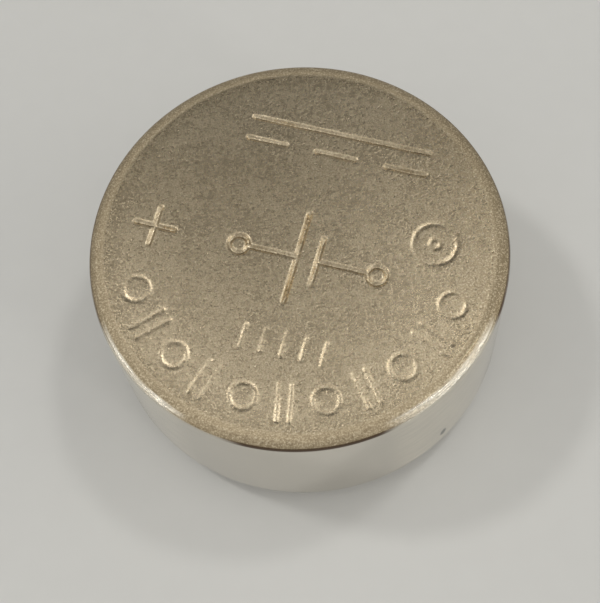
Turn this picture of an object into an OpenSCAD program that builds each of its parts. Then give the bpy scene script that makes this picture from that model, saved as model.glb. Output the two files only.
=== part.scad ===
// Alkaline button cell of the 11.6 mm round size, standing on its negative cap.
// Millimetres. +Z is the cell's axis, and the origin is the middle of the negative
// contact face, so the positive face lies at z = cell_h.
// Every piece is one closed section turned about the axis. The sections share the same
// radii and levels, so neighbouring pieces meet face to face as they do once crimped.

/* [Cell] */
// Outside diameter of the can
cell_d = 11.6; // [11.4:0.05:12.4]
// Height from the negative contact face to the positive face
cell_h = 5.4; // [4.8:0.05:6]

/* [Positive can] */
// Thickness of the nickel-plated steel sheet
can_t = 0.25; // [0.2:0.01:0.3]
// Outside radius where the positive face turns down into the wall
can_corner_r = 0.35; // [0.32:0.01:0.6]
// Outside radius of the crimp that closes the can over the seal
crimp_r = 0.85; // [0.8:0.01:0.95]
// Angle through which the crimp turns the wall inwards
crimp_turn = 105; // [95:1:110]
// How far the crimp stays back from the negative contact face
crimp_back = 0.2; // [0.15:0.01:0.3]

/* [Negative cap] */
// Thickness of the clad cap sheet
cap_t = 0.2; // [0.15:0.01:0.22]
// Outside diameter of the cap's raised contact
contact_d = 9.1; // [8.9:0.05:9.2]
// Outside radius round the edge of the contact
contact_corner_r = 0.35; // [0.3:0.01:0.5]
// Level at which the raised contact steps out to the skirt
step_z = 0.75; // [0.7:0.01:0.85]
// Inside radius of the two bends of that step
step_bend_r = 0.1; // [0.05:0.01:0.12]
// Gap left inside the folded-back rim
hem_gap = 0.04; // [0.02:0.01:0.06]

/* [Seal] */
// Thickness of the seal's foot, between the folded rim and the separator
foot_t = 0.38; // [0.3:0.01:0.5]
// Radial thickness of the short leg inside the cap's skirt
leg_t = 0.3; // [0.2:0.01:0.4]
// Length of that leg, from the top of the folded rim
leg_h = 0.6; // [0.3:0.05:0.9]
// Level of the seal's edge that shows between the crimp and the cap
seal_edge_z = 0.25; // [0.22:0.01:0.34]

/* [Contents] */
// Thickness of the pressed cathode pellet
pellet_h = 1.9; // [1.2:0.05:2]
// Thickness of the barrier film
film_t = 0.08; // [0.06:0.01:0.12]
// Thickness of the absorbent separator
pad_t = 0.22; // [0.15:0.01:0.3]
// How far the seal's foot squeezes the separator's rim
pad_pinch = 0.08; // [0:0.01:0.12]
// Radial play round the film and the separator
disc_play = 0.05; // [0.02:0.01:0.1]

/* [Hidden] */
$fn = 128;

// Can: outside and inside radii, and the centre about which the crimp turns
can_r = cell_d / 2;
can_in_r = can_r - can_t;
crimp_c = [can_r - crimp_r, crimp_back + crimp_r];

// Levels of the stack, from the positive face downwards
pellet_top = cell_h - can_t;
pellet_z = pellet_top - pellet_h;
film_z = pellet_z - film_t;
pad_z = film_z - pad_t;
foot_top = pad_z + pad_pinch;
pellet_bevel = can_corner_r - can_t + 0.05;

// Cap: the step is an S of two bends, which share one middle line at step_r
cap_top = foot_top - foot_t;
contact_r = contact_d / 2;
step_out_r = step_bend_r + cap_t;
step_r = contact_r + step_bend_r;
skirt_z = step_z + step_bend_r + step_out_r;
skirt_r = step_r + step_out_r;
fold_c = [skirt_r + hem_gap / 2, cap_top - cap_t - hem_gap / 2];
return_z = skirt_z + hem_gap;

// Seal: bore of the leg, the level where the leg begins, and the extra turn that
// carries the round of its section past the plane of the can's lip
bore_r = skirt_r - cap_t - leg_t;
leg_z = cap_top - leg_h;
round_lap = 15;

// A slice of a disc about the origin, between two angles up to 180 degrees apart
module pie(r, from, to) {
    steps = 4;
    intersection() {
        circle(r = r);
        polygon([[0, 0], for (k = [0:steps])
            let (a = from + (to - from) * k / steps) 2 * r * [cos(a), sin(a)]]);
    }
}

// A bent strip of sheet: the same slice with its middle taken out
module bend(r_in, r_out, from, to) {
    difference() {
        pie(r_out, from, to);
        circle(r = r_in);
    }
}

// Point on the plane of the can's cut lip, at level z
function lip_point(z) = crimp_c + (crimp_c.y - z) * [1 / tan(crimp_turn), -1];

// Drawn cup, closed at the top, with its mouth crimped inwards below
module can_section() {
    translate([0, pellet_top]) square([can_r - can_corner_r, can_t]);
    translate([can_r - can_corner_r, cell_h - can_corner_r])
        bend(can_corner_r - can_t, can_corner_r, 0, 90);
    translate([can_in_r, crimp_c.y])
        square([can_t, cell_h - can_corner_r - crimp_c.y]);
    translate(crimp_c) bend(crimp_r - can_t, crimp_r, -crimp_turn, 0);
}

// Room that the crimped can leaves for the seal, from its foot down to its visible edge
module seal_room() {
    translate([bore_r, crimp_c.y])
        square([can_in_r - bore_r, foot_top - crimp_c.y]);
    translate(crimp_c) pie(crimp_r - can_t, -crimp_turn - round_lap, 0);
    polygon([[bore_r, crimp_c.y], [bore_r, seal_edge_z], lip_point(seal_edge_z), crimp_c]);
}

// Outline of the cap's sheet at a depth below its outer face, up to level top
module cap_outline(depth, top) {
    wide_r = skirt_r - depth;
    difference() {
        union() {
            translate([0, depth])
                square([contact_r - contact_corner_r, contact_corner_r - depth]);
            translate([contact_r - contact_corner_r, contact_corner_r])
                pie(contact_corner_r - depth, -90, 0);
            translate([0, contact_corner_r])
                square([contact_r - depth, step_z - contact_corner_r]);
            translate([0, step_z]) square([step_r, skirt_z - step_z]);
        }
        translate([step_r, step_z]) pie(step_bend_r + depth, 90, 180);
    }
    translate([step_r, skirt_z]) pie(step_out_r - depth, -90, 0);
    translate([0, skirt_z]) square([wide_r, top - skirt_z]);
}

// Stepped cup with its rim folded back outwards
module cap_section() {
    difference() {
        cap_outline(0, fold_c.y);
        cap_outline(cap_t, cap_top);
    }
    translate(fold_c) bend(hem_gap / 2, hem_gap / 2 + cap_t, 0, 180);
    translate([skirt_r + hem_gap, return_z]) square([cap_t, fold_c.y - return_z]);
}

// The cap with the gap in its folded rim filled, as the seal meets it
module cap_plug() {
    cap_outline(0, leg_z);
    translate([skirt_r - cap_t, leg_z])
        square([cap_t, fold_c.y - leg_z]);
    translate([skirt_r, return_z])
        square([hem_gap + cap_t, fold_c.y - return_z]);
    translate(fold_c) pie(hem_gap / 2 + cap_t, 0, 180);
}

// Moulded ring, squeezed to the shape of the can outside it and the cap inside it
module gasket_section() {
    difference() {
        seal_room();
        cap_plug();
    }
}

// Gel that fills the cap and the bore of the seal, up to the separator
module gel_section() {
    cap_outline(cap_t, leg_z);
    translate([0, leg_z]) square([bore_r, pad_z - leg_z]);
}

// Pressed disc with both rims bevelled, the upper one clear of the can's inner corner
module pellet_section() {
    polygon([
        [0, pellet_z],
        [can_in_r - pellet_bevel, pellet_z],
        [can_in_r, pellet_z + pellet_bevel],
        [can_in_r, pellet_top - pellet_bevel],
        [can_in_r - pellet_bevel, pellet_top],
        [0, pellet_top],
    ]);
}

module positive_can() {
    color([0.68, 0.61, 0.49]) rotate_extrude() can_section();
}

module cathode_pellet() {
    color([0.13, 0.13, 0.14]) rotate_extrude() pellet_section();
}

module barrier_film() {
    color([0.84, 0.80, 0.62])
        translate([0, 0, film_z]) cylinder(r = can_in_r - disc_play, h = film_t);
}

// Disc with its rim pressed thinner by the seal's foot
module absorbent_separator() {
    color([0.93, 0.92, 0.88]) {
        translate([0, 0, foot_top])
            cylinder(r = can_in_r - disc_play, h = film_z - foot_top);
        translate([0, 0, pad_z]) cylinder(r = bore_r, h = film_z - pad_z);
    }
}

module sealing_gasket() {
    color([0.86, 0.85, 0.80]) rotate_extrude() gasket_section();
}

module zinc_gel() {
    color([0.48, 0.50, 0.53]) rotate_extrude() gel_section();
}

module negative_cap() {
    color([0.78, 0.77, 0.74]) rotate_extrude() cap_section();
}

positive_can();
cathode_pellet();
barrier_film();
absorbent_separator();
sealing_gasket();
zinc_gel();
negative_cap();
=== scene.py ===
"""Button cell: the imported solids, a finely stamped can over them, metal finishes, and a pale bench."""
import math

import bmesh
import bpy
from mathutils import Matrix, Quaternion, Vector, noise
from mathutils.geometry import delaunay_2d_cdt


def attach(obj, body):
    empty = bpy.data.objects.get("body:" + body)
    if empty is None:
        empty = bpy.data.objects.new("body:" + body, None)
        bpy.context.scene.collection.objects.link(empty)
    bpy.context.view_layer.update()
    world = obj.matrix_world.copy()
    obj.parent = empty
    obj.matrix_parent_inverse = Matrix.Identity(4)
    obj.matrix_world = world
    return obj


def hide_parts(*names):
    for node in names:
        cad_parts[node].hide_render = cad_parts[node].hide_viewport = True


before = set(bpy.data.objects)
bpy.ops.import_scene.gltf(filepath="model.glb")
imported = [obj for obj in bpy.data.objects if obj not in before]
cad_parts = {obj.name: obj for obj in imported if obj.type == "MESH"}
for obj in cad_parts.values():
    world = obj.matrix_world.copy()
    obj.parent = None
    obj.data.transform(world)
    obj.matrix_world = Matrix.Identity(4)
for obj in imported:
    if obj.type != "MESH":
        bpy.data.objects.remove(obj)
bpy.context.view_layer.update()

MM = 0.001

# ---------------------------------------------------------------- shape, in millimetres
# Can: the same section as the solid that the stamped can stands for
CELL_H = 5.4
CAN_R = 5.8
SHEET = 0.25
CORNER_R = 0.35
CRIMP_R = 0.85
CRIMP_TURN = 105
CRIMP_BACK = 0.2
FACE_R = CAN_R - CORNER_R
CRIMP_AT = (CAN_R - CRIMP_R, CRIMP_BACK + CRIMP_R)

# Stamping of the positive face: half a stroke's width, its depths and how the depth wanders
STROKE_HALF = 0.1
DEEP, SHALLOW = 0.064, 0.0105
DEPTH_MEAN, DEPTH_SWING, DEPTH_WANDER = 1.05, 0.6, 1.4

# Signs: how far they are turned, in degrees, and where their middles are
READING_TILT = -23
PLUS_AT = (-3.83, 1.18)
DIRECT_CURRENT_AT = (1.55, 2.85)
CELL_SIGN_AT = (0.2, -0.5)
TICKS_AT = (-0.75, -2.85)
DOT_AT = (3.7, -0.58)

# Meshing of the can: steps round the axis and along the section, and the face's triangles
TURN_STEPS = 256
CORNER_STEPS, INNER_CORNER_STEPS = 12, 6
CRIMP_STEPS, INNER_CRIMP_STEPS = 24, 20
WALL_ROWS = (3, 1.5)
FINE_STEP = 0.026
FINE_REACH = 0.14
COARSE_STEP = 0.16
EDGE_GAP = 0.06
SQUARE = 0.5
WELD = 0.001
SHARP_ANGLE = 40

# ---------------------------------------------------------------- where the can's finishes and painted light lie
# Bands from where a finish or a painted light begins to where it is full, in millimetres: heights and
# radii
# The face's warm colour, partly painted warm reflection and shade, gives way to the wall's between these
# heights
FACE_BAND = (5.16, 5.24)
CORNER_BAND = (5.32, 5.47)
# RIM_BAND: radii of the face's painted shade towards the rim
RIM_BAND = (4.7, 5.5)
# Painted dark reflection line round the corner: bands of its top and foot, and how far its top leans
DARK_LINE_TOP, DARK_LINE_FOOT = (5.285, 5.25), (5.1, 5.15)
DARK_LINE_TILT = 0.03
# Radii where the worn stretches' painted highlight begins and is full
WORN_HIGHLIGHT_BAND = (5.55, 5.66)
RUBBED_RIGHT, RUBBED_LEFT = (5.47, 5.53), (5.6, 5.67)
NICKED_BAND = (5.05, 5.12)

# The small chip on the wall: its place, the band about it, and how far its height is squashed
CHIP_AT, CHIP_BAND, CHIP_SQUASH = (3.36, -4.73, 1.62), (0.15, 0.07), 0.5

# Stretches of the rim: degrees about the axis, and the cosines off that side where a finish, a painted
# highlight, the painted dark line or painted shade begins and is full
WORN_HIGHLIGHT_RIGHT, WORN_HIGHLIGHT_LEFT = (-52, 0.92, 0.98), (213, 0.94, 0.985)
# Stretches where the painted dark line stops
UNLINED_RIGHT, UNLINED_LEFT = (-52, 0.91, 0.96), (-137, 0.9, 0.96)
# The painted dark line is strongest towards this side
FRONT = -89
# The corner's painted shade fades out towards the front
OFF_FRONT = (FRONT, 0.9, 0.6)

# Painted light and shade across the face: degrees about the axis, and bands of the distance towards that
# side
# Painted shade towards this side of the face
SHADE_PAINTED_SIDE, SHADE_PAINTED_BAND = 8, (2.0, 5.4)
# Painted light towards this side of the face
LIGHT_PAINTED_SIDE, LIGHT_PAINTED_BAND = 216, (1.5, 5.0)
# Painted light towards the back of the face
BACK_BAND = (2.2, 5.0)

# Grains: scale per millimetre, detail and roughness; and how streaks are stretched along the axes
CLOUD, FINE, GRIT, NICKS = (0.7, 2.0), (9.0, 4.0, 0.75), (20.0, 3.0, 0.75), (10.0, 2.0, 0.6)
CAP_CLOUD, BENCH_CLOUD = (0.9, 2.0), (1.2, 3.0)
STREAKS = (1.0, 3.0, 0.6)
WALL_STRETCH, CAP_STRETCH = (0.4, 0.4, 16.0), (6.0, 0.5, 6.0)
LINES_ROUND, LINES_ACROSS = 6, 12

# ---------------------------------------------------------------- room, lamps and camera
BENCH_HALF = 0.4
LAMP_AWAY = 0.35

# Lamps: name, direction, share of the light on the bench, and width in degrees
LAMPS = (
    ("lamp_right", (2.3, 1.45, 5.4), 0.11, 7),
    ("lamp_left", (-3.05, 1.5, 5.4), 0.145, 7),
    ("lamp_front", (6.3, -7.1, 3.2), 0.034, 8.5))

# Room: its light low down and overhead, the upward shares between which it changes, and patches as
# direction, outer and inner width in degrees, and light: dark high at the back, bright at each side
ROOM_LOW, ROOM_HIGH = (0.57, 0.57, 0.57, 1), (0.92, 0.92, 0.92, 1)
ROOM_CHANGE = (0.6, 0.98)
ROOM_PATCHES = (
    ((0.02, 0.75, 1), 29, 10.5, (0.08, 0.08, 0.076, 1)),
    ((0.93, -0.27, 0.27), 26, 16, (2.0, 1.95, 1.85, 1)),
    ((-0.96, -0.28, 0.03), 23, 15, (2.6, 2.5, 2.35, 1)))

# Camera: where it stands, the point it aims at, its roll and its lens
CAMERA_AT = (-0.16, -15.25, 37.83)
CAMERA_AIM = (-0.16, -1.69, CELL_H)
CAMERA_ROLL = -8.2
LENS = 78.25


# ---------------------------------------------------------------- shader arithmetic
class Wire:
    """A socket that can be used in a sum; each operator adds one Math node."""

    def __init__(self, finish, socket):
        self.finish = finish
        self.socket = socket

    def __add__(self, other):
        return self.finish.math("ADD", self, other)

    def __sub__(self, other):
        return self.finish.math("SUBTRACT", self, other)

    def __rsub__(self, other):
        return self.finish.math("SUBTRACT", other, self)

    def __mul__(self, other):
        return self.finish.math("MULTIPLY", self, other)

    def __truediv__(self, other):
        return self.finish.math("DIVIDE", self, other)

    __radd__ = __add__
    __rmul__ = __mul__


class Finish:
    """A node tree being written, of a material or of the world."""

    def __init__(self, owner):
        owner.use_nodes = True
        self.tree = owner.node_tree
        self.tree.nodes.clear()

    def node(self, kind, settings=None, sockets=None, out=0):
        """One node: its settings first, then the values or wires of its sockets."""
        made = self.tree.nodes.new("ShaderNode" + kind)
        for name, value in (settings or {}).items():
            setattr(made, name, value)
        for name, value in (sockets or {}).items():
            if isinstance(value, Wire):
                self.tree.links.new(value.socket, made.inputs[name])
            else:
                made.inputs[name].default_value = value
        return Wire(self, made.outputs[out]) if made.outputs else None

    def math(self, operation, a, b=0.0):
        return self.node("Math", {"operation": operation}, {0: a, 1: b})

    def vector(self, operation, a, b, out=0):
        return self.node("VectorMath", {"operation": operation}, {0: a, 1: b}, out)

    def blend(self, share, a, b):
        """Colour a where share is 0, b where it is 1."""
        return self.node("Mix", {"data_type": "RGBA"}, {0: share, 6: a, 7: b}, out=2)

    def rise(self, value, low, high):
        """0 below low, 1 above high, smooth between; low may be the larger."""
        ends = {"Value": value, "From Min": low, "From Max": high}
        return self.node("MapRange", {"interpolation_type": "SMOOTHSTEP"}, ends)

    def noise(self, place, scale, detail=2.0, rough=0.5):
        knobs = {"Vector": place, "Scale": scale, "Detail": detail, "Roughness": rough}
        return self.node("TexNoise", {}, knobs)


class Metal(Finish):
    """A material with its place on the piece ready to use, in millimetres."""

    def __init__(self, name):
        self.material = bpy.data.materials.new(name)
        super().__init__(self.material)
        metres = self.node("TexCoord", out=3)
        self.place = self.vector("MULTIPLY", metres, (1 / MM,) * 3)
        self.x, self.y, self.z = (
            self.node("SeparateXYZ", {}, {0: self.place}, out=axis) for axis in range(3))
        self.radius = self.math("SQRT", self.x * self.x + self.y * self.y)

    def scaled(self, x, y, z):
        """The place with its axes scaled, for streaks."""
        return self.vector("MULTIPLY", self.place, (x, y, z))

    def towards(self, side):
        """1 on the side at an angle in degrees about the axis, less round from there."""
        turn = math.radians(side)
        return (self.x * math.cos(turn) + self.y * math.sin(turn)) / self.radius

    def stretch(self, side, begins, full):
        """A stretch of the rim about one side, soft at its ends."""
        return self.rise(self.towards(side), begins, full)

    def relief(self, pattern, height, under=None):
        """A bump from a pattern, height millimetres high where the pattern is 1."""
        knobs = {"Height": pattern, "Distance": height * MM, "Strength": 1.0}
        if under is not None:
            knobs["Normal"] = under
        return self.node("Bump", {}, knobs)

    def surface(self, **sockets):
        """Ends the material in one Principled shader; underscores stand for spaces."""
        knobs = {name.replace("_", " "): value for name, value in sockets.items()}
        shader = self.node("BsdfPrincipled", {}, knobs)
        self.node("OutputMaterial", {}, {"Surface": shader})
        return self.material


def colour(red, green, blue):
    """Linear colour from 8-bit display values."""
    def linear(level):
        share = level / 255
        return share / 12.92 if share <= 0.04045 else ((share + 0.055) / 1.055) ** 2.4
    return (linear(red), linear(green), linear(blue), 1.0)


# ---------------------------------------------------------------- colours
# Face: its warm tint and its darkness against the wall are partly painted warm reflection and painted
# shade
WARM_DARKER, WARM_LIGHTER = colour(181, 165, 136), colour(190, 174, 145)
# Painted shade at one side of the face and on its corner
WARM_PAINTED_SHADE, WARM_PAINTED_SHADE_CORNER = colour(156, 141, 114), colour(124, 113, 90)
# Painted light behind and at the other side of the face
WARM_PAINTED_LIGHT_BACK, WARM_PAINTED_LIGHT = colour(214, 198, 168), colour(214, 196, 165)
# Painted shade by the rim
WARM_PAINTED_SHADE_RIM = colour(160, 145, 117)
# Painted shade in the grain's hollows and painted glints on its crests
FINE_PAINTED_SHADE, GRIT_PAINTED_SHADE, GRIT_PAINTED_GLINT = colour(120, 104, 78), colour(116, 100, 76), colour(230, 217, 190)

# Wall, rim, cap and bench; the rim's dark line is a painted reflection, its bright worn colour a painted
# highlight
WALL_LIGHTER, WALL_DARKER = colour(217, 212, 202), colour(190, 184, 174)
PAINTED_DARK_REFLECTION, PAINTED_HIGHLIGHT, CHIPPED = colour(74, 52, 34), colour(236, 230, 216), colour(76, 78, 73)
CAP_DARKER, CAP_LIGHTER = colour(200, 194, 182), colour(218, 213, 203)
BENCH_DARKER, BENCH_LIGHTER = colour(195, 194, 189), colour(198, 197, 192)

# Matt finishes by node: name, two colours, the grain's scale, roughness and the grain's height
MATT = {
    "sealing_gasket": (
        "seal_nylon", colour(196, 192, 178), colour(214, 211, 200), 9.0, 0.45, 0.004),
    "cathode_pellet": (
        "cathode_mix", colour(26, 26, 28), colour(58, 58, 60), 7.0, 0.75, 0.01),
    "barrier_film": (
        "barrier_film_resin", colour(206, 198, 160), colour(222, 215, 182), 3.0, 0.3, 0.002),
    "absorbent_separator": (
        "separator_fibre", colour(228, 226, 218), colour(244, 243, 238), 14.0, 0.85, 0.012),
    "zinc_gel": (
        "zinc_gel_paste", colour(92, 95, 100), colour(150, 153, 158), 12.0, 0.5, 0.015)}


# ---------------------------------------------------------------- finishes
def warm_nickel(m, cloud, fine, grit, corner):
    """Colour of the face, with painted light: painted shade at one side, by the rim and on the corner
    away from the front, painted light behind and at the other side, painted shade in the grain's hollows
    and painted glints on its crests.
    """
    shade_painted_side = m.rise(m.towards(SHADE_PAINTED_SIDE) * m.radius, *SHADE_PAINTED_BAND)
    light_painted_side = m.rise(m.towards(LIGHT_PAINTED_SIDE) * m.radius, *LIGHT_PAINTED_BAND)
    # Painted light towards the back of the face
    back = m.rise(m.y, *BACK_BAND)
    # Painted shade towards the rim
    rim = m.rise(m.radius, *RIM_BAND)
    # Painted shade on the corner away from the front, dulling the lamps' highlights there
    off_front = m.stretch(*OFF_FRONT)
    # Painted shade where the grain's relief is low, painted glints where it is high
    fine_hollow_shade = m.rise(fine, 0.56, 0.4)
    grit_hollow_shade = m.rise(grit, 0.52, 0.36)
    grit_crest_glints = m.rise(grit, 0.5, 0.64)

    # Painted shade and painted light over the face's own colour, each as mask, strength and colour
    tones = (
        (shade_painted_side, 0.7, WARM_PAINTED_SHADE),
        (back, 0.5, WARM_PAINTED_LIGHT_BACK),
        (light_painted_side, 0.4, WARM_PAINTED_LIGHT),
        (rim, 0.55, WARM_PAINTED_SHADE_RIM),
        (corner * off_front, 0.35, WARM_PAINTED_SHADE_CORNER),
        (fine_hollow_shade, 0.32, FINE_PAINTED_SHADE),
        (grit_hollow_shade, 0.42, GRIT_PAINTED_SHADE),
        (grit_crest_glints, 0.5, GRIT_PAINTED_GLINT))
    warm = m.blend(cloud, WARM_DARKER, WARM_LIGHTER)
    for mask, strength, tone in tones:
        warm = m.blend(mask * strength, warm, tone)
    return warm


def can_nickel():
    """Dull grainy nickel on the face, bright nickel on the wall, a rim worn smoother in two stretches,
    and painted light: a warm tint and shade on the face, a dark reflection line round the corner, and
    highlights where it is worn.
    """
    m = Metal("can_nickel")
    face = m.rise(m.z, *FACE_BAND)
    corner = m.rise(m.radius, *CORNER_BAND)
    cloud = m.noise(m.place, *CLOUD)
    fine = m.noise(m.place, *FINE)
    grit = m.noise(m.place, *GRIT)
    nicks = m.noise(m.place, *NICKS)
    streak = m.noise(m.scaled(*WALL_STRETCH), *STREAKS)

    # Lines drawn round the corner: noise that is long round the axis and short across it
    around = m.node("CombineXYZ", {}, {
        0: LINES_ROUND * m.x / m.radius,
        1: LINES_ROUND * m.y / m.radius,
        2: LINES_ACROSS * (m.radius - m.z)})
    lines = m.rise(m.noise(around, *STREAKS), 0.4, 0.6)

    # Two stretches of the rim are rubbed smoother and carry a painted highlight, the right one wider
    # than the left one
    rubbed = m.stretch(*WORN_HIGHLIGHT_RIGHT) * m.rise(m.radius, *RUBBED_RIGHT)
    rubbed = rubbed + m.stretch(*WORN_HIGHLIGHT_LEFT) * m.rise(m.radius, *RUBBED_LEFT)
    worn_highlight = rubbed * m.rise(m.radius, *WORN_HIGHLIGHT_BAND)

    # A thin painted dark reflection runs round the corner, fainter at the back, and stops where it is
    # rubbed
    unlined = m.stretch(*UNLINED_RIGHT) + m.stretch(*UNLINED_LEFT)
    level = m.z - DARK_LINE_TILT * m.y / m.radius
    painted_dark_line = m.rise(level, *DARK_LINE_TOP) * m.rise(m.z, *DARK_LINE_FOOT) * (1 - unlined)
    painted_dark_line = painted_dark_line * (0.45 + 0.55 * m.rise(m.towards(FRONT) + cloud, 0.6, 1.2))

    squashed_at = (CHIP_AT[0], CHIP_AT[1], CHIP_AT[2] * CHIP_SQUASH)
    from_chip = m.vector("DISTANCE", m.scaled(1, 1, CHIP_SQUASH), squashed_at, out=1)

    metal = m.blend(streak * 0.3, WALL_LIGHTER, WALL_DARKER)
    # The face's warm colour against the silver wall is partly painted warm reflection and painted shade
    metal = m.blend(face, metal, warm_nickel(m, cloud, fine, grit, corner))
    # Painted dark reflection round the corner
    metal = m.blend(painted_dark_line * 0.9, metal, PAINTED_DARK_REFLECTION)
    # Painted highlight on the worn stretches of the corner
    metal = m.blend(worn_highlight * (0.35 + 0.6 * lines), metal, PAINTED_HIGHLIGHT)
    metal = m.blend(m.rise(from_chip, *CHIP_BAND), metal, CHIPPED)

    # Roughness of each finish, and what the grains, the corner, the painted dark line's band and the
    # wear change in it
    rough_face = 0.2 + fine * 0.1 + cloud * 0.05 + corner * 0.32 - rubbed * (0.2 + 0.16 * lines)
    rough_wall = 0.07 + streak * 0.1 + painted_dark_line * 0.2

    # Relief: each pattern about its middle, where it shows, and its height in millimetres
    grained = face * (1 - corner * 0.3)
    patterns = (
        ((fine - 0.5) * grained, 0.0085),
        ((grit - 0.5) * grained, 0.005),
        ((lines - 0.5) * (corner * face) * (0.3 + rubbed * 1.5), 0.004),
        ((nicks - 0.5) * worn_highlight * m.rise(m.z, *NICKED_BAND), 0.03),
        ((streak - 0.5) * (1 - face), 0.0012))
    bump = None
    for pattern, height in patterns:
        bump = m.relief(pattern, height, bump)
    return m.surface(
        Base_Color=metal, Metallic=1.0,
        Roughness=rough_face * face + rough_wall * (1 - face), Normal=bump)


def cap_nickel():
    """Bright nickel cladding of the cap, with faint streaks."""
    m = Metal("cap_nickel_clad")
    streak = m.noise(m.scaled(*CAP_STRETCH), *STREAKS)
    cloud = m.noise(m.place, *CAP_CLOUD)
    return m.surface(
        Base_Color=m.blend(cloud, CAP_DARKER, CAP_LIGHTER), Metallic=1.0,
        Roughness=0.16 + streak * 0.16, Normal=m.relief(streak, 0.002))


def dull(name, darker, lighter, scale, rough, height):
    """A matt finish that wanders between two colours, with a grain of its own."""
    m = Metal(name)
    grain = m.noise(m.place, scale, 4.0, 0.6)
    return m.surface(
        Base_Color=m.blend(m.rise(grain, 0.3, 0.7), darker, lighter),
        Roughness=rough + grain * 0.1, Normal=m.relief(grain, height))


# ---------------------------------------------------------------- the can's sheet
def arc(centre, radius, start, end, steps):
    """Points on an arc between two angles in degrees, both ends included."""
    turns = (math.radians(start + (end - start) * k / steps) for k in range(steps + 1))
    return [(centre[0] + radius * math.cos(t), centre[1] + radius * math.sin(t)) for t in turns]


def can_section():
    """Open outline of the sheet: from the face's edge down, round the crimp and up again inside."""
    corner = (FACE_R, CELL_H - CORNER_R)
    outside = arc(corner, CORNER_R, 90, 0, CORNER_STEPS)
    outside += [(CAN_R, CRIMP_AT[1] + up) for up in WALL_ROWS]
    outside += arc(CRIMP_AT, CRIMP_R, 0, -CRIMP_TURN, CRIMP_STEPS)
    inside = arc(CRIMP_AT, CRIMP_R - SHEET, -CRIMP_TURN, 0, INNER_CRIMP_STEPS)
    inside += arc(corner, CORNER_R - SHEET, 0, 90, INNER_CORNER_STEPS)
    return outside + inside


def turned(section, steps):
    """An open section turned about the axis, as vertices and faces."""
    verts = [
        (r * math.cos(math.tau * k / steps), r * math.sin(math.tau * k / steps), z)
        for r, z in section for k in range(steps)]
    faces = []
    for row in range(len(section) - 1):
        low, high = row * steps, (row + 1) * steps
        for k in range(steps):
            after = (k + 1) % steps
            faces.append((low + k, high + k, high + after, low + after))
    return verts, faces


# ---------------------------------------------------------------- strokes of the positive face
def tilted(point, angle, at=(0, 0)):
    """A point turned by an angle in degrees and then moved."""
    turn = math.radians(angle)
    x, y = point
    return (
        at[0] + x * math.cos(turn) - y * math.sin(turn),
        at[1] + x * math.sin(turn) + y * math.cos(turn))


def laid(rows, at):
    """Strokes turned to the reading direction and moved to their place."""
    return [[tilted(point, READING_TILT, at) for point in row] for row in rows]


def ring(centre, radius, steps=20):
    """A closed ring as one stroke."""
    return [tilted((radius, 0), 360 * k / steps, centre) for k in range(steps + 1)]


def plus_sign():
    """The plus at the left of the face."""
    arm = 0.56
    return laid([[(-arm, 0), (arm, 0)], [(0, -arm), (0, arm)]], PLUS_AT)


def direct_current_sign():
    """A long bar over three dashes, above the middle."""
    half, gap, dash = 2.55, 0.34, 1.1
    rows = [[(-half, gap), (half, gap)]]
    for k in (-1, 0, 1):
        mid = k * (half - dash / 2)
        rows.append([(mid - dash / 2, -gap), (mid + dash / 2, -gap)])
    return laid(rows, DIRECT_CURRENT_AT)


def cell_sign():
    """The circuit sign of a cell: two plates, two leads and their ring ends."""
    gap, long_plate, short_plate = 0.29, 1.35, 0.7
    lead, end_r = 1.95, 0.26
    rows = [
        [(-gap, -long_plate), (-gap, long_plate)], [(gap, -short_plate), (gap, short_plate)],
        [(-gap, 0), (-lead + end_r, 0)], [(gap, 0), (lead - end_r, 0)],
        ring((-lead, 0), end_r), ring((lead, 0), end_r)]
    return laid(rows, CELL_SIGN_AT)


def rim_ornament():
    """Rings and paired bars by turns along the front of the rim."""
    first, apart, count = 188, 14, 11
    out, ring_r = 4.55, 0.36
    bar_half, bar_side = 0.5, 0.17
    rows = []
    for k in range(count):
        angle = first + apart * k
        at = tilted((out, 0), angle)
        if k % 2:
            for side in (-bar_side, bar_side):
                rows.append([tilted((x, side), angle, at) for x in (-bar_half, bar_half)])
        else:
            rows.append(ring(at, ring_r))
    return rows


def ringed_dot():
    """A small ring within a larger one, at the right."""
    outer, inner = 0.6, 0.14
    return [ring(DOT_AT, outer, 28), ring(DOT_AT, inner, 10)]


def ticks():
    """Five short strokes side by side, in front of the middle."""
    apart, half = 0.56, 0.32
    rows = [[(k * apart, -half), (k * apart, half)] for k in (-2, -1, 0, 1, 2)]
    return laid(rows, TICKS_AT)


def stamped_strokes():
    """Every stroke of the face as straight pieces, each two points and a depth."""
    deep = plus_sign() + direct_current_sign() + cell_sign()
    shallow = rim_ornament() + ringed_dot() + ticks()
    return [
        (row[k], row[k + 1], depth) for rows, depth in ((deep, DEEP), (shallow, SHALLOW))
        for row in rows for k in range(len(row) - 1)]


def nearest_stroke(x, y, pieces):
    """How far a point is from the nearest of the pieces, and the depth of that piece."""
    best, deep = math.inf, 0.0
    for (ax, ay), (bx, by), depth in pieces:
        dx, dy = bx - ax, by - ay
        along = max(0.0, min(1.0, ((x - ax) * dx + (y - ay) * dy) / (dx * dx + dy * dy)))
        away = math.hypot(x - ax - along * dx, y - ay - along * dy)
        if away < best:
            best, deep = away, depth
    return best, deep


def by_square(pieces):
    """The pieces that come near each square of a grid, so that few are measured at a point."""
    squares = {}
    for piece in pieces:
        (ax, ay), (bx, by), _ = piece
        low = [math.floor((min(p) - FINE_REACH) / SQUARE) for p in ((ax, bx), (ay, by))]
        high = [math.floor((max(p) + FINE_REACH) / SQUARE) for p in ((ax, bx), (ay, by))]
        for i in range(low[0], high[0] + 1):
            for j in range(low[1], high[1] + 1):
                squares.setdefault((i, j), []).append(piece)
    return squares


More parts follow.
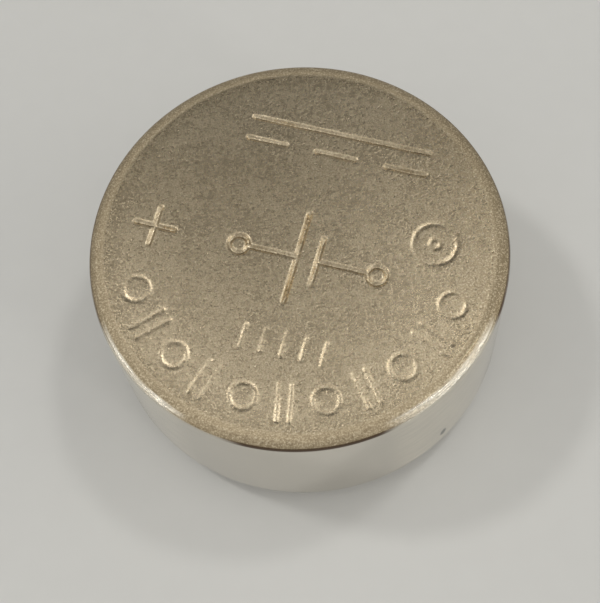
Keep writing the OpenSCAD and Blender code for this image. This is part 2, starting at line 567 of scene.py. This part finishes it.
def stamped_face():
    """The positive face as triangles: fine along the strokes, coarse between them."""
    squares = by_square(stamped_strokes())

    def nearest(x, y):
        square = (math.floor(x / SQUARE), math.floor(y / SQUARE))
        return nearest_stroke(x, y, squares.get(square, ()))

    points = [tilted((FACE_R, 0), 360 * k / TURN_STEPS) for k in range(TURN_STEPS)]
    edge = list(range(TURN_STEPS))
    for step, near in ((FINE_STEP, True), (COARSE_STEP, False)):
        row_gap = step * math.sqrt(3) / 2
        rows = int(FACE_R / row_gap)
        for j in range(-rows, rows + 1):
            y = j * row_gap
            reach = math.sqrt(max(0.0, (FACE_R - COARSE_STEP / 2) ** 2 - y * y))
            count = int(reach / step)
            for i in range(-count, count + 1):
                x = (i + (j % 2) / 2) * step
                wanted = (nearest(x, y)[0] < FINE_REACH) == near
                if wanted and math.hypot(x, y) < FACE_R - EDGE_GAP:
                    points.append((x, y))
    inside_only, merge_within = 1, 1e-6
    flat, _, faces, *_ = delaunay_2d_cdt(
        [Vector(p) for p in points], [], [edge], inside_only, merge_within)
    verts = []
    for x, y in flat:
        away, depth = nearest(x, y)
        share = min(1.0, away / STROKE_HALF)
        depth *= DEPTH_MEAN + DEPTH_SWING * noise.noise(Vector((x, y, 0)) * DEPTH_WANDER)
        verts.append((x, y, CELL_H - depth * (1 + math.cos(math.pi * share)) / 2))
    return verts, faces


# ---------------------------------------------------------------- pieces
def closed_piece(name, parts, material, node):
    """One closed mesh from lists of vertices and faces in millimetres, standing for a node."""
    work = bmesh.new()
    for verts, faces in parts:
        made = [work.verts.new(Vector(v) * MM) for v in verts]
        for face in faces:
            work.faces.new([made[k] for k in face])
    bmesh.ops.remove_doubles(work, verts=work.verts, dist=WELD * MM)
    bmesh.ops.recalc_face_normals(work, faces=work.faces)
    mesh = bpy.data.meshes.new(name)
    work.to_mesh(mesh)
    work.free()
    mesh.materials.append(material)
    mesh.shade_smooth()
    mesh.set_sharp_from_angle(angle=math.radians(SHARP_ANGLE))
    made = bpy.data.objects.new(name, mesh)
    bpy.context.scene.collection.objects.link(made)
    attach(made, "root")
    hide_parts(node)
    return made


def stamped_can():
    """The can: its turned sheet, closed by the inside of the face and by the stamped face."""
    section = can_section()
    verts, faces = turned(section, TURN_STEPS)
    last = (len(section) - 1) * TURN_STEPS
    faces.append(tuple(range(last, last + TURN_STEPS)))
    parts = [(verts, faces), stamped_face()]
    can = closed_piece("stamped_can", parts, can_nickel(), "positive_can")


def dress_nodes():
    """Finishes for the solids that stay as modelled."""
    finishes = {"negative_cap": cap_nickel()}
    for node, settings in MATT.items():
        finishes[node] = dull(*settings)
    for node, material in finishes.items():
        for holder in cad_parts[node].material_slots:
            holder.material = material


# ---------------------------------------------------------------- bench, light and camera
def bench():
    """A pale matt sheet under the cell."""
    m = Metal("bench_paper")
    tone = m.blend(m.noise(m.place, *BENCH_CLOUD), BENCH_DARKER, BENCH_LIGHTER)
    material = m.surface(Base_Color=tone, Roughness=0.6, Specular_IOR_Level=0.3)
    mesh = bpy.data.meshes.new("bench")
    low, high = -BENCH_HALF, BENCH_HALF
    corners = [(low, low, 0), (high, low, 0), (high, high, 0), (low, high, 0)]
    mesh.from_pydata(corners, [], [(0, 1, 2, 3)])
    mesh.materials.append(material)
    made = bpy.data.objects.new("bench", mesh)
    bpy.context.scene.collection.objects.link(made)


def lamp(name, direction, share, wide):
    """A round soft lamp; share is its part of the light on the bench."""
    aim = Vector(direction).normalized()
    light = bpy.data.lights.new(name, "AREA")
    light.shape = "DISK"
    light.size = 2 * LAMP_AWAY * math.tan(math.radians(wide) / 2)
    light.energy = share * math.pi ** 2 * LAMP_AWAY ** 2 / aim.z
    made = bpy.data.objects.new(name, light)
    made.location = aim * LAMP_AWAY
    made.rotation_mode = "QUATERNION"
    made.rotation_quaternion = aim.to_track_quat("Z", "Y")
    bpy.context.scene.collection.objects.link(made)


def sky():
    """A pale room, darker high at the back, with a soft bright panel low at each side."""
    world = bpy.data.worlds.new("room")
    bpy.context.scene.world = world
    w = Finish(world)
    ray = w.node("TexCoord", out=0)

    def near(direction, wide, narrow):
        """1 within narrow degrees of a direction, 0 beyond wide degrees."""
        share = w.vector("DOT_PRODUCT", ray, Vector(direction).normalized(), out=1)
        return w.rise(share, math.cos(math.radians(wide)), math.cos(math.radians(narrow)))

    up = w.node("SeparateXYZ", {}, {0: ray}, out=2)
    shade = w.blend(w.rise(up, *ROOM_CHANGE), ROOM_LOW, ROOM_HIGH)
    for direction, wide, narrow, light in ROOM_PATCHES:
        shade = w.blend(near(direction, wide, narrow), shade, light)
    background = w.node("Background", {}, {"Color": shade, "Strength": 1.0})
    w.node("OutputWorld", {}, {"Surface": background})


def camera():
    """Looks down on the cell from in front."""
    data = bpy.data.cameras.new("camera")
    data.lens = LENS
    data.clip_start = MM
    made = bpy.data.objects.new("camera", data)
    made.location = Vector(CAMERA_AT) * MM
    made.rotation_mode = "QUATERNION"
    look = (Vector(CAMERA_AIM) - Vector(CAMERA_AT)).to_track_quat("-Z", "Y")
    made.rotation_quaternion = look @ Quaternion((0, 0, 1), math.radians(CAMERA_ROLL))
    bpy.context.scene.collection.objects.link(made)
    bpy.context.scene.camera = made


bpy.context.scene.view_settings.view_transform = "Standard"
camera()
stamped_can()
dress_nodes()
bench()
sky()
for settings in LAMPS:
    lamp(*settings)
